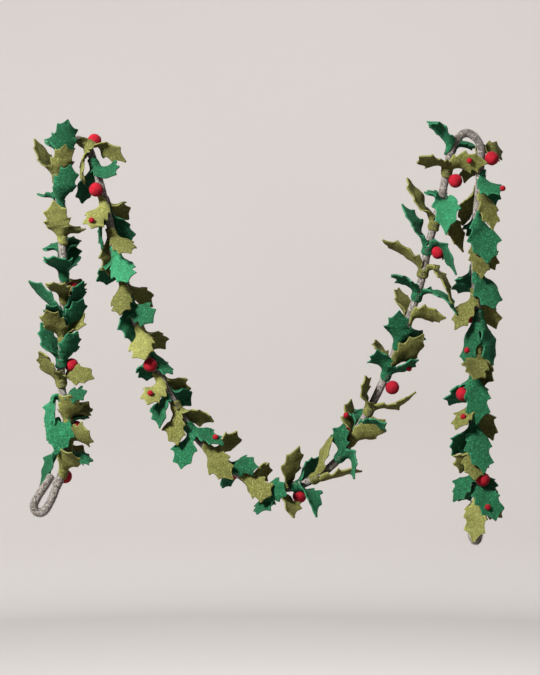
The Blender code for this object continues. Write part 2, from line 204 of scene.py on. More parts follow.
# A row for each double leaf, in rope order: its felt, the place of its waist, then how far each
# tip lies from there to the right, up and towards the front, how far the blade arches up, the
# blades' width, and how much of its face each one turns to the front, less than 0 for its back
PAIR_COLUMNS = (
    "felt",
    "x",
    "z",
    "right_1",
    "up_1",
    "out_1",
    "arch_1",
    "right_2",
    "up_2",
    "out_2",
    "arch_2",
    "width",
    "face_1",
    "face_2",
)
LEAF_PAIRS = (
    ("olive", -27, -600, 27, 45, 45, 0, 32, 46, -55, 0, 52, 1.0, 0.3),
    ("emerald", -22, -580, -60, -57, -40, 12, 51, 5, -12, 4, 42, -0.6, 0.3),
    ("olive", -18, -552, 45, 30, 45, 0, -31, 44, -45, 0, 50, 1.0, 0.4),
    ("emerald", -26, -465, -30, -68, 5, 22, 38, 10, 42, 14, 44, 0.4, 0.3),
    ("olive", -29, -440, -38, 56, 30, 4, 60, 12, 22, 8, 42, 0.1, 0.7),
    ("emerald", -28, -404, -34, 76, -4, 0, 30, 60, 15, 0, 44, 0.45, 0.4),
    ("olive", -25, -363, -24, 54, 46, 0, 34, 66, -12, 0, 44, 0.9, 0.4),
    ("emerald", -24, -323, -57, 72, 5, 0, 37, 68, 10, 0, 42, 0.35, 0.3),
    ("emerald", -24, -248, -10, 34, 64, 0, 8, 67, -50, 0, 54, 0.0, 0.3),
    ("olive", -28, -174, -10, 66, 42, 0, 27, 36, -45, 0, 46, 1.0, 0.5),
    ("emerald", -32, -120, 24, 65, 45, 0, -35, 31, -55, 0, 48, 1.0, 0.3),
    ("olive", -35, -71, -44, 72, -6, 0, 18, 58, 30, 0, 42, 0.3, 0.8),
    ("emerald", -31, -37, 22, 70, 40, 0, -18, 50, -45, 0, 50, 1.0, 0.4),
    ("olive", 14, -6, 78, -40, 20, 8, -5, -77, 15, 0, 42, -0.75, 0.1),
    ("emerald", 29, -42, 47, -31, 55, 0, -18, -74, -15, 0, 44, 0.6, 0.25),
    ("olive", 50, -106, -18, -57, 45, 0, 37, -27, -58, 0, 46, 1.0, 0.5),
    ("emerald", 70, -206, 27, -61, 50, 0, -23, -56, -50, 0, 52, 1.0, 0.3),
    ("emerald", 94, -289, 48, -42, 40, 0, 10, -80, -10, 0, 50, 1.0, 0.25),
    ("olive", 112, -339, 14, -52, 50, 0, 45, -40, -45, 0, 50, 1.0, 0.4),
    ("olive", 148, -424, -16, -49, 46, 0, 52, -40, -45, 0, 48, 1.0, 0.35),
    ("olive", 178, -480, 3, -68, 25, 0, 63, -34, 4, 4, 44, 0.6, -0.5),
    ("emerald", 202, -516, -12, -75, 20, 0, 60, -37, 20, 4, 46, 0.7, 0.1),
    ("olive", 232, -555, 48, -53, 40, 0, 60, 14, -45, 0, 50, 1.0, 0.4),
    ("olive", 299, -608, 50, -28, 45, 0, 50, 10, -50, 0, 48, 1.0, 0.4),
    ("olive", 367, -629, 38, 77, 30, 0, 30, -44, 48, 4, 44, -0.7, -0.5),
    ("emerald", 391, -625, 44, 52, -42, 0, 44, -44, 64, 36, 44, 0.2, -0.45),
    ("olive", 427, -611, 32, 86, 5, 0, 86, 14, 10, 8, 42, 0.15, 0.05),
    ("olive", 490, -550, 2, 76, -30, 0, 59, 39, 35, 0, 48, 0.1, 0.8),
    ("olive", 528, -482, -12, 66, 30, 0, 90, 28, 5, -6, 44, -0.5, 0.18),
    ("emerald", 554, -426, -16, 52, 42, 0, 60, 22, 15, 4, 44, 0.5, 0.15),
    ("olive", 565, -403, -25, 48, -30, 0, 63, 60, 18, 0, 46, 0.1, 0.6),
    ("emerald", 577, -374, 2, 62, 42, 0, 50, 34, -30, 0, 48, 1.0, 0.5),
    ("emerald", 612, -282, -47, 38, 30, 16, 79, -24, 20, 22, 42, 0.15, 0.2),
    ("olive", 622, -242, -66, 68, 5, 0, 61, -50, 20, 26, 42, 0.25, 0.15),
    ("emerald", 631, -201, -37, 88, 5, 0, 50, -44, 35, 26, 44, -0.45, -0.4),
    ("olive", 641, -156, -46, 88, 5, 0, 60, -44, -5, 24, 44, -0.4, -0.7),
    ("emerald", 654, -112, 8, -53, 42, 20, 2, 40, -52, 0, 50, 1.0, 0.0),
    ("olive", 666, -55, -52, 20, 38, 0, 64, 10, 35, 14, 46, 0.3, 0.7),
    ("emerald", 674, -22, -46, 48, 36, 34, 46, 10, -50, 10, 44, 0.08, 0.3),
    ("emerald", 726, -59, 28, -45, 45, 0, 33, -57, -42, 0, 42, 0.6, 0.2),
    ("olive", 724, -86, -29, -65, -30, 0, 23, -77, 25, 0, 42, 0.05, 0.5),
    ("emerald", 720, -132, 6, -40, -60, 0, 14, -95, 22, 0, 54, 0.3, 0.9),
    ("emerald", 716, -231, -23, -52, -45, 0, 31, -79, 30, 0, 50, 0.5, 0.8),
    ("olive", 718, -274, -41, -68, 25, 0, 42, -64, -40, 0, 44, 0.6, 0.5),
    ("emerald", 721, -316, -18, -91, 5, 0, 30, -90, 5, 0, 46, 0.4, 0.45),
    ("emerald", 717, -422, 0, -89, 30, 0, -38, -65, -36, 0, 54, 1.0, 0.3),
    ("emerald", 715, -508, 12, -92, 46, 0, -38, -62, -18, 0, 52, 1.0, 0.5),
    ("olive", 717, -548, -5, -60, 42, 0, -24, -54, -32, 0, 46, 1.0, 0.5),
    ("emerald", 720, -590, -44, -61, 5, 0, 32, -70, -32, 0, 46, 0.4, 0.4),
    ("olive", 722, -633, -14, -84, 35, 0, 48, -48, -30, 0, 42, 1.0, 0.7),
)

# The double leaves that sit between those, closer to their neighbours
TUCKED_PAIRS = (
    ("emerald", -19, -520, -16, -44, 36, 8, 26, 42, -48, 0, 50, 1.0, 0.4),
    ("olive", -17, -510, 10, 52, 40, 0, 34, 35, -44, 0, 48, 1.0, 0.4),
    ("emerald", -23, -338, -24, 50, 42, 0, 36, 58, 15, 0, 40, 0.6, 0.4),
    ("olive", -24, -283, -10, 34, 62, 0, 26, 42, -45, 0, 50, 0.0, 0.5),
    ("emerald", -26, -210, -28, 32, -40, 0, 12, 46, -50, 0, 42, 0.5, 0.4),
    ("emerald", 56, -127, -13, -70, 6, 0, 40, -61, -40, 0, 42, 0.0, 0.6),
    ("olive", 64, -166, 39, -43, 50, 0, -6, -79, -20, 0, 42, 0.3, 0.1),
    ("olive", 82, -255, -1, -62, 45, 0, 49, -40, -50, 0, 42, 0.4, 0.5),
    ("emerald", 130, -382, 40, -43, 10, 0, -9, -48, -45, 0, 42, 0.15, 0.3),
    ("emerald", 162, -453, -16, -68, 25, 0, 40, -26, -50, 0, 42, 0.35, 0.4),
    ("emerald", 263, -584, 63, -4, 30, 0, 10, -44, -50, 0, 44, 0.8, 0.4),
    ("emerald", 338, -626, 42, -12, 50, 4, 2, -52, 22, 0, 48, 1.0, 0.5),
    ("emerald", 472, -574, 3, 62, 25, 0, 34, -32, 42, 24, 42, 0.45, -0.4),
    ("emerald", 509, -516, 52, 24, 45, 0, -5, 45, -55, 0, 42, 0.35, 0.4),
    ("olive", 596, -323, -9, 63, -30, 0, 67, 7, 30, 6, 42, 0.3, 0.4),
    ("olive", 725, -14, 50, 0, -35, 8, -25, -59, -40, 0, 44, -0.8, 0.2),
    ("olive", 717, -183, 8, -70, 30, 0, 41, -51, -42, 0, 44, 0.8, 0.5),
    ("olive", 722, -377, -14, -58, 46, 0, 18, -66, -22, 0, 48, 1.0, 0.15),
    ("olive", 713, -469, -36, -52, 32, 0, 40, -72, -30, 0, 42, 0.05, 0.4),
    ("emerald", 721, -613, 26, -66, 44, 0, -30, -40, -42, 0, 50, 1.0, 0.4),
)

# A row for each berry: its middle in mm, and whether it sits on the front or the back of the rope
BERRY_COLUMNS = ("x", "z", "side")
BERRIES = (
    (36, -91, "front"),
    (134, -407, "front"),
    (413, -639, "back"),
    (568, -451, "front"),
    (680, -77, "front"),
    (746, -31, "front"),
    (728, -610, "front"),
)
TUCKED_BERRIES = (
    (28, 2, "back"),
    (650, -203, "front"),
    (691, -458, "back"),
    (707, -318, "back"),
    (-11, -406, "back"),
    (-4, -519, "back"),
    (283, -600, "back"),
    (-24, -609, "back"),
    (-10, -268, "back"),
)

# A row for each small bead: its middle in mm, and the double leaf that it is sewn to
BEAD_COLUMNS = ("x", "z", "leaf")
BEADS = (
    (30, -148, "leaf_pair_16"),
    (135, -455, "leaf_pair_20"),
    (249, -535, "leaf_pair_22"),
    (486, -496, "leaf_pair_28"),
    (480, -525, "leaf_pair_28"),
    (601, -421, "leaf_pair_30"),
    (703, -42, "leaf_pair_38"),
    (761, -91, "leaf_pair_40"),
    (701, -380, "leaf_pair_45"),
    (693, -498, "tucked_pair_19"),
    (736, -658, "tucked_pair_20"),
)


def rows(columns, table):
    return [dict(zip(columns, row)) for row in table]


def smooth_curve(points, steps):
    """Points on a Catmull-Rom curve through the given ones, steps to a span."""
    ends = [2 * points[0] - points[1], *points, 2 * points[-1] - points[-2]]
    found = []
    for a, b, c, d in zip(ends, ends[1:], ends[2:], ends[3:]):
        for step in range(steps):
            t = step / steps
            found.append(
                0.5
                * (
                    2 * b
                    + (c - a) * t
                    + (2 * a - 5 * b + 4 * c - d) * t**2
                    + (3 * b - a - 3 * c + d) * t**3
                )
            )
    found.append(points[-1])
    return found


def ramp(low, high, value):
    """0 below low, 1 above high, and a smooth step between them."""
    t = min(max((value - low) / (high - low), 0.0), 1.0)
    return t * t * (3 - 2 * t)


# Camera


def make_camera():
    camera = bpy.data.objects.new("camera", bpy.data.cameras.new("camera"))
    camera.data.lens = CAMERA_LENS
    camera.data.sensor_width = SENSOR_WIDTH
    camera.location = CAMERA_AIM + FRONT * CAMERA_DISTANCE
    camera.rotation_euler = (math.radians(90), 0.0, 0.0)
    bpy.context.scene.collection.objects.link(camera)
    bpy.context.scene.camera = camera


# Materials


class Nodes:
    """A short way to write a material's node tree."""

    def __init__(self, name):
        self.material = bpy.data.materials.new(name)
        self.material.use_nodes = True
        self.tree = self.material.node_tree
        self.shader = self.tree.nodes["Principled BSDF"]

    def add(self, kind, settings=(), **inputs):
        node = self.tree.nodes.new(kind)
        for name, value in dict(settings).items():
            setattr(node, name, value)
        for name, value in inputs.items():
            self.feed(node.inputs[name.replace("_", " ")], value)
        return node

    def feed(self, socket, value):
        if isinstance(value, bpy.types.NodeSocket):
            self.tree.links.new(value, socket)
        else:
            socket.default_value = value

    def attribute(self, name):
        return self.add("ShaderNodeAttribute", {"attribute_name": name})

    def noise(self, place, scale, detail, roughness=0.6):
        node = self.add(
            "ShaderNodeTexNoise",
            Vector=place,
            Scale=scale,
            Detail=detail,
            Roughness=roughness,
        )
        return node.outputs["Fac"]

    def spread(self, value, low, high, to_low=0.0, to_high=1.0):
        """Maps low to high of a value onto to_low to to_high, smoothly and with ends held."""
        node = self.add(
            "ShaderNodeMapRange",
            {"interpolation_type": "SMOOTHSTEP"},
            Value=value,
            From_Min=low,
            From_Max=high,
            To_Min=to_low,
            To_Max=to_high,
        )
        return node.outputs["Result"]

    def maths(self, operation, a, b=0.5):
        node = self.add("ShaderNodeMath", {"operation": operation})
        self.feed(node.inputs[0], a)
        self.feed(node.inputs[1], b)
        return node.outputs[0]

    def mix(self, share, a, b):
        node = self.add("ShaderNodeMix", {"data_type": "RGBA"})
        self.feed(node.inputs["Factor"], share)
        self.feed(node.inputs[6], a)
        self.feed(node.inputs[7], b)
        return node.outputs[2]

    def bump(self, height, strength, distance, normal=None):
        node = self.add(
            "ShaderNodeBump", Strength=strength, Distance=distance, Height=height
        )
        if normal is not None:
            self.feed(node.inputs["Normal"], normal)
        return node.outputs["Normal"]

    def finish(self, colour, normal, sheen, sheen_tint, roughness):
        self.feed(self.shader.inputs["Base Color"], colour)
        self.feed(self.shader.inputs["Normal"], normal)
        self.shader.inputs["Roughness"].default_value = roughness
        self.shader.inputs["Sheen Weight"].default_value = sheen
        self.shader.inputs["Sheen Roughness"].default_value = 0.6
        self.shader.inputs["Sheen Tint"].default_value = sheen_tint
        self.shader.inputs["Specular IOR Level"].default_value = 0.15
        return self.material


# Each felt's colours: its base, its pale fibres, which also give the pale blades their painted highlight,
# its dark fibres, and the painted highlight along its cut edge
FELTS = {
    "emerald": (
        (0.003, 0.053, 0.0195, 1.0),
        (0.044, 0.240, 0.118, 1.0),
        (0.002, 0.022, 0.008, 1.0),
        (0.040, 0.190, 0.098, 1.0),
    ),
    "olive": (
        (0.078, 0.080, 0.0165, 1.0),
        (0.268, 0.273, 0.100, 1.0),
        (0.030, 0.031, 0.006, 1.0),
        (0.225, 0.230, 0.072, 1.0),
    ),
}


def felt_material(name, base, light, dark, cut):
    """Pressed wool felt: cloudy tone, speckled fibres, a painted highlight along the cut edge, and a
    painted highlight on the pale blades.
    """
    n = Nodes(name)
    place = n.add("ShaderNodeTexCoord").outputs["Object"]
    clouds = n.noise(place, 70.0, 3.0)
    patches = n.noise(place, 330.0, 4.0, 0.7)
    fibres = n.noise(place, 760.0, 5.0, 0.75)
    grain = n.noise(place, 2600.0, 3.0, 0.8)
    tone = n.attribute("tone").outputs["Fac"]
    edge = n.attribute("edge").outputs["Fac"]
    colour = n.mix(n.spread(clouds, 0.35, 0.65, 0.0, 0.35), base, dark)
    colour = n.mix(n.spread(patches, 0.52, 0.68, 0.0, 0.55), colour, light)
    colour = n.mix(n.spread(patches, 0.48, 0.32, 0.0, 0.75), colour, dark)
    colour = n.mix(n.spread(fibres, 0.53, 0.68, 0.0, 0.95), colour, light)
    colour = n.mix(n.spread(fibres, 0.46, 0.32, 0.0, 0.80), colour, dark)
    # Painted highlight: the cut edge is mixed towards the felt's cut-edge colour, where edges catch the
    # light
    colour = n.mix(n.maths("MULTIPLY", edge, 0.45), colour, cut)
    # Painted highlight: blades with a tone above 1, the pale blades, are mixed towards the pale fibre
    # colour and brightened by their tone
    colour = n.mix(n.spread(tone, 1.0, 1.3, 0.0, 0.30), colour, light)
    shade = n.add("ShaderNodeHueSaturation", Value=tone, Color=colour)
    height = n.maths("ADD", n.maths("MULTIPLY", fibres, 0.7), n.maths("MULTIPLY", grain, 0.3))
    normal = n.bump(patches, 0.35, 1.2 * MM)
    normal = n.bump(height, 0.7, 0.5 * MM, normal)
    return n.finish(shade.outputs["Color"], normal, 0.15, cut, 0.95)


def rope_material():
    """Felted wool rope: grey-brown with pale and dark fibres drawn out along its lay."""
    n = Nodes("rope_felt")
    along = n.attribute("strand").outputs["Vector"]
    place = n.add("ShaderNodeTexCoord").outputs["Object"]
    clouds = n.noise(along, 70.0, 3.0)
    streaks = n.noise(along, 420.0, 3.0, 0.6)
    flecks = n.noise(place, 380.0, 3.0, 0.6)
    grain = n.noise(place, 2400.0, 3.0, 0.8)
    colour = n.mix(
        n.spread(clouds, 0.38, 0.62), (0.088, 0.077, 0.068, 1.0), (0.140, 0.125, 0.113, 1.0)
    )
    colour = n.mix(n.spread(streaks, 0.52, 0.62, 0.0, 0.9), colour, (0.27, 0.254, 0.24, 1.0))
    colour = n.mix(n.spread(flecks, 0.50, 0.42, 0.0, 0.9), colour, (0.030, 0.025, 0.022, 1.0))
    height = n.maths("ADD", n.maths("MULTIPLY", streaks, 0.7), n.maths("MULTIPLY", grain, 0.3))
    normal = n.bump(height, 0.8, 0.9 * MM)
    return n.finish(colour, normal, 0.15, (0.8, 0.76, 0.7, 1.0), 0.95)


def berry_material():
    """Hard felted ball: even red with a slightly paler nap."""
    n = Nodes("berry_felt")
    place = n.add("ShaderNodeTexCoord").outputs["Object"]
    clouds = n.noise(place, 130.0, 3.0)
    fibres = n.noise(place, 1000.0, 5.0, 0.75)
    grain = n.noise(place, 3000.0, 3.0, 0.8)
    colour = n.mix(n.spread(clouds, 0.35, 0.65), (0.145, 0.0014, 0.006, 1.0), (0.215, 0.0020, 0.009, 1.0))
    colour = n.mix(n.spread(fibres, 0.52, 0.78, 0.0, 0.45), colour, (0.36, 0.018, 0.032, 1.0))
    height = n.maths("ADD", n.maths("MULTIPLY", fibres, 0.7), n.maths("MULTIPLY", grain, 0.3))
    normal = n.bump(height, 0.5, 0.4 * MM)
    return n.finish(colour, normal, 0.035, (1.0, 0.30, 0.34, 1.0), 0.9)


def thread_material():
    """Twisted sewing thread."""
    n = Nodes("thread")
    place = n.add("ShaderNodeTexCoord").outputs["Object"]
    strands = n.noise(place, 2500.0, 3.0)
    colour = n.mix(strands, (0.05, 0.043, 0.036, 1.0), (0.13, 0.115, 0.10, 1.0))
    return n.finish(colour, n.bump(strands, 0.6, 0.2 * MM), 0.2, (0.8, 0.8, 0.8, 1.0), 0.7)


# Meshes


def mesh_object(name, points, faces, material, attributes=()):
    mesh = bpy.data.meshes.new(name)
    mesh.from_pydata(points, [], faces)
    mesh.validate()
    mesh.shade_smooth()
    for label, kind, values in attributes:
        layer = mesh.attributes.new(label, kind, "POINT")
        layer.data.foreach_set("vector" if kind == "FLOAT_VECTOR" else "value", values)
    obj = bpy.data.objects.new(name, mesh)
    obj.data.materials.append(material)
    bpy.context.scene.collection.objects.link(obj)
    return obj


def ring_faces(rings, sides, capped=True):
    """Faces of a tube whose points are laid out ring after ring."""
    faces = []
    for ring in range(rings - 1):
        for i in range(sides):
            j = (i + 1) % sides
            near, far = ring * sides, (ring + 1) * sides
            faces.append((near + i, near + j, far + j, far + i))
    if capped:
        faces.append(tuple(reversed(range(sides))))
        faces.append(tuple(range((rings - 1) * sides, rings * sides)))
    return faces


# Rope


def loop_points(seam, tilt, turn, extra):
    """The loop's own points, hung from its seam."""
    down = Vector((math.sin(tilt), 0.0, -math.cos(tilt)))
    flat = Vector((math.cos(tilt), 0.0, math.sin(tilt)))
    across = flat * math.cos(turn) - FRONT * math.sin(turn)
    found = []
    for row in rows(LOOP_COLUMNS, LOOP_ROUTE):
        sideways = row["across"] - extra * row["share"]
        found.append(seam + (across * sideways + down * row["down"]) * MM)
    return found


def rope_lines():
    """The whole rope as a fine line, and the middle rope as the coarse line that carries leaves."""
    route = [Vector((row["x"] * MM, 0.0, row["z"] * MM)) for row in rows(ROPE_COLUMNS, ROPE_ROUTE)]
    left = loop_points(route[0], LEFT_LOOP_TILT, LEFT_LOOP_TURN, LEFT_LOOP_EXTRA)
    right = loop_points(route[-1], RIGHT_LOOP_TILT, RIGHT_LOOP_TURN, RIGHT_LOOP_EXTRA)
    points = [*reversed(left), *route, *right]
    coarse = smooth_curve(points, COARSE_STEPS)
    first = len(left) * COARSE_STEPS
    last = len(coarse) - 1 - len(right) * COARSE_STEPS
    start = (coarse[first - 1] + coarse[first]) / 2
    end = (coarse[last] + coarse[last + 1]) / 2
    start += (coarse[first] - coarse[first - 1]).normalized() * SEAM_GAP / 2
    end -= (coarse[last + 1] - coarse[last]).normalized() * SEAM_GAP / 2
    return smooth_curve(points, FINE_STEPS), [start, *coarse[first : last + 1], end]


def make_rope(line, material):
    """The felted rope through both loops, lumpy, with rounded ends."""
    points = []
    strand = []
    side = FRONT.cross((line[1] - line[0]).normalized()).normalized()
    travelled = 0.0
    rings = []
    for index, middle in enumerate(line):
        before, after = line[max(index - 1, 0)], line[min(index + 1, len(line) - 1)]
        tangent = (after - before).normalized()
        if index:
            travelled += (middle - line[index - 1]).length
        side = (side - tangent * side.dot(tangent)).normalized()
        rings.append((middle, tangent, side, travelled))
    length = travelled
    for middle, tangent, side, travelled in rings:
        binormal = tangent.cross(side)
        from_end = min(travelled, length - travelled)
        closing = math.sqrt(max(0.02, 1 - (1 - min(from_end / END_ROUNDING, 1.0)) ** 2))
        for i in range(ROPE_SIDES):
            angle = math.tau * i / ROPE_SIDES
            outward = side * math.cos(angle) + binormal * math.sin(angle)
            place = middle + outward * ROPE_RADIUS
            lump = noise.noise(place / LUMP_SIZE) * LUMP_HEIGHT
            tuft = noise.noise(place / TUFT_SIZE + UP * 9) * TUFT_HEIGHT
            points.append(middle + outward * (ROPE_RADIUS * closing + lump + tuft))
            lay = angle + math.tau * travelled / LAY_PITCH
            strand.extend(
                (travelled * FIBRE_STRETCH, math.cos(lay) * ROPE_RADIUS, math.sin(lay) * ROPE_RADIUS)
            )
    faces = ring_faces(len(rings), ROPE_SIDES)
    rope = mesh_object(
        "felted_rope", points, faces, material, [("strand", "FLOAT_VECTOR", strand)]
    )
    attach(rope, "root")
    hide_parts("rope", "end_loop_left", "end_loop_right")
    return rope


# Places on the rope


def nearest_on(line, wanted, margin_before=0.0, margin_after=0.0):
    """(place, direction) of a line nearest to a point, kept clear of its corners."""
    best = None
    for a, b in zip(line, line[1:]):
        direction = (b - a).normalized()
        length = (b - a).length
        along = min(max((wanted - a).dot(direction), 0.0), length)
        away = (wanted - a - direction * along).length
        if best is None or away < best[0]:
            best = (away, a, direction, along, length)
    _, start, direction, along, length = best
    low, high = margin_before, length - margin_after
    along = min(max(along, low), high) if low < high else (low + high) / 2
    return start + direction * along, direction


class RopeFrame:
    """Directions round the rope at one place. Azimuth 0 looks to the front."""

    def __init__(self, place, tangent):
        self.place = place
        self.tangent = tangent
        self.side = tangent.cross(FRONT)

    def radial(self, azimuth):
        return FRONT * math.cos(azimuth) + self.side * math.sin(azimuth)

    def round_the_rope(self, azimuth):
        return self.tangent.cross(self.radial(azimuth))

    def azimuth_of(self, offset):
        return math.atan2(offset.dot(self.side), offset.dot(FRONT))


def frame_at(x, z, coarse, fine):
    """The rope's frame near a place in the picture, on its smooth line."""
    wanted = Vector((x * MM, 0.0, z * MM))
    place, _ = nearest_on(coarse, wanted, WAIST_MARGIN_BEFORE, WAIST_MARGIN_AFTER)
    return RopeFrame(*nearest_on(fine, place))


# Leaves


def bezier(p0, p1, p2, p3, t):
    s = 1 - t
    return p0 * s**3 + p1 * 3 * s * s * t + p2 * 3 * s * t * t + p3 * t**3


class BladeEdge:
    """One cut edge of a blade: half width along it, uneven as scissors leave it."""

    def __init__(self, width, draw):
        self.width = width
        self.points = []
        for row in rows(SPIKE_COLUMNS, BLADE_SPIKES):
            inner = INNER_SPIKES[0] < row["along"] < INNER_SPIKES[1]
            uneven = draw.uniform(*SPIKE_WIDTHS) if inner else 1.0
            shift = draw.uniform(*SPIKE_SHIFTS) if inner else 0.0
            dip = row["dip"] * draw.uniform(*DIP_DEPTHS)
            bent = draw.uniform(-1.0, 1.0)
            self.points.append((row["along"] + shift, row["wide"] * uneven, dip, bent))

    def half_width(self, along):
        for (a, wide_a, _, _), (b, wide_b, dip, _) in zip(self.points, self.points[1:]):
            if along <= b or b == 1.0:
                s = min(max((along - a) / (b - a), 0.0), 1.0)
                straight = wide_a + (wide_b - wide_a) * s
                return (straight - dip * math.sin(math.pi * s**0.75)) * self.width / 2
        return 0.0

    def spike_at(self, along):
        """(closeness to a spike, how far that spike is bent)."""
        near, bent = 0.0, 0.0
        for place, _, _, lean in self.points[2:-1]:
            close = math.exp(-(((along - place) / SPIKE_REACH) ** 2))
            if close > near:
                near, bent = close, lean
        return near, bent


def blade_spine(frame, tip_offset, arch, face):
    """(middle, width direction, share of the blade) from the waist out to the tip."""
    azimuth = frame.azimuth_of(tip_offset)
    outward = frame.radial(azimuth)
    natural = frame.round_the_rope(azimuth)
    root = frame.place + frame.tangent * WAIST_TURN + outward * WAIST_RADIUS
    tip = frame.place + tip_offset
    length = (tip - root).length
    leave = root + (frame.tangent * LEAVE_ALONG + outward * LEAVE_OUT) * length
    bend = root.lerp(tip, BLADE_BEND) + UP * arch
    sense = math.copysign(1.0, FRONT.cross(tip - root).dot(natural) * face)
    found = []
    for step in range(BLADE_STEPS + 1):
        along = step / BLADE_STEPS
        middle = bezier(root, leave, bend, tip, along)
        ahead = bezier(root, leave, bend, tip, min(along + 0.02, 1.0))
        behind = bezier(root, leave, bend, tip, max(along - 0.02, 0.0))
        settled = min(max((along - TWIST_START) / (TWIST_END - TWIST_START), 0.0), 1.0)
        aim = (ahead - behind).normalized().lerp((tip - root).normalized(), settled).normalized()
        turned = FRONT.cross(aim).normalized() * sense
        across = (natural - aim * natural.dot(aim)).normalized()
        found.append((middle, across.slerp(turned, abs(face) * settled, turned), along))
    return found


def waist_spine(frame, azimuth_1, azimuth_2):
    """(middle, width direction, curvature) of the band that folds round the rope."""
    sweep = math.remainder(azimuth_2 - azimuth_1, math.tau)
    sense = math.copysign(1.0, sweep)
    turn_angle = min(WAIST_TURN / WAIST_RADIUS, abs(sweep) * TURN_SHARE)
    arc = abs(sweep) - 2 * turn_angle
    steps = max(2, math.ceil(arc / WAIST_STEP))
    found = []

    def add(azimuth, along, slope):
        radial = frame.radial(azimuth)
        direction = frame.round_the_rope(azimuth) * sense * math.cos(slope)
        direction += frame.tangent * math.sin(slope)
        middle = frame.place + frame.tangent * along + radial * WAIST_RADIUS
        found.append((middle, radial.cross(direction), math.sin(slope) ** 2 / WAIST_RADIUS))

    for slope in (0.75, 0.5, 0.25):
        angle = math.radians(90) * slope
        part = turn_angle * (1 - math.sin(angle))
        add(azimuth_1 + sense * part, WAIST_TURN * (1 - math.cos(angle)), -angle)
    for step in range(steps + 1):
        add(azimuth_1 + sense * (turn_angle + arc * step / steps), 0.0, 0.0)
    for slope in (0.25, 0.5, 0.75):
        angle = math.radians(90) * slope
        part = turn_angle * (1 - math.sin(angle))
        add(azimuth_2 - sense * part, WAIST_TURN * (1 - math.cos(angle)), angle)
    return found


# How light each blade's felt is, and the blades painted paler than the rest as a painted highlight
TONES = (0.66, 0.92)
PAINTED_HIGHLIGHT_TONES = (1.02, 1.18)
PAINTED_HIGHLIGHT_BLADES = (
    ("felt_leaf_pair_04", 1),
    ("felt_leaf_pair_10", 1),
    ("felt_leaf_pair_16", 1),
    ("felt_leaf_pair_17", 1),
    ("felt_leaf_pair_19", 1),
    ("felt_leaf_pair_20", 1),
    ("felt_leaf_pair_37", 1),
    ("felt_leaf_pair_50", 1),
    ("felt_tucked_pair_01", 1),
    ("felt_tucked_pair_02", 1),
)

# Shares of the half width at which a leaf has points, from one cut edge to the other
ACROSS = (-1.0, -0.9, -0.72, -0.5, -0.26, 0.0, 0.26, 0.5, 0.72, 0.9, 1.0)

# Between which values each blade draws its cupping, in 1/m, and its other forms, in mm
CUPPING = (-14.0, 26.0)
CREASE = (0.5, 1.6)
PLEAT = (0.4, 0.9)
RIPPLE = (1.4, 3.4)
FLUTTER = (0.8, 2.6)
CURL = (-9.0, 12.0)
RIPPLE_SIZE = 24 * MM
FLUTTER_SIZE = 15 * MM
PUCKER_SIZE = 9 * MM
PUCKER_HEIGHT = 0.45 * MM
SPIKE_LIFT = 3.5 * MM
SPIKE_FORWARD = 3.0 * MM
NAP_SIZE = 7 * MM
NAP_SHARE = 0.10


class BladeShape:
    """How one blade lies out of its smooth sheet: cupped, creased, rippled, with bent spikes."""

    def __init__(self, width, draw):
        self.left = BladeEdge(width, draw)
        self.right = BladeEdge(width, draw)
        self.curvature = draw.uniform(*CUPPING)
        self.crease = draw.uniform(*CREASE) * MM
        self.pleat = draw.uniform(*PLEAT) * MM
        self.ripple = draw.uniform(*RIPPLE) * MM
        self.flutter = draw.uniform(*FLUTTER) * MM
        self.curl = draw.uniform(*CURL) * MM
        self.seed = Vector([draw.uniform(-50, 50) for _ in range(3)])

    def edge(self, share):
        return self.right if share > 0 else self.left

    def curvature_at(self, along):
        """The sheet wraps the rope at its root and opens out to its own cup."""
        opened = ramp(0.0, 0.42, along)
        return (1 - opened) / WAIST_RADIUS + opened * self.curvature

    def lift(self, place, along, share):
        """How far the sheet stands off its smooth surface at one place."""
        body = ramp(0.10, 0.45, along)
        near, bent = self.edge(share).spike_at(along)
        lift = -self.crease * math.exp(-((share / 0.2) ** 2)) * (1 - ramp(0.3, 0.9, along))
        lift += self.pleat * math.cos(3 * math.pi * share) * (1 - ramp(0.08, 0.38, along))
        lift += noise.noise(place / RIPPLE_SIZE + self.seed) * self.ripple * body
        lift += noise.noise(place / PUCKER_SIZE - self.seed) * PUCKER_HEIGHT
        lift += noise.noise(place / FLUTTER_SIZE + self.seed * 2) * self.flutter * share**2 * body
        lift += bent * near * abs(share) ** 3 * SPIKE_LIFT
        lift += self.curl * ramp(0.45, 1.0, along) ** 2
        return lift


def bent_across(across, normal, distance, curvature):
    """The step to a point on a sheet that curves away from its normal as it goes sideways."""
    if abs(curvature) < 0.5:
        return across * distance
    angle = min(max(distance * curvature, -1.5), 1.5)
    return (across * math.sin(angle) - normal * (1 - math.cos(angle))) / curvature


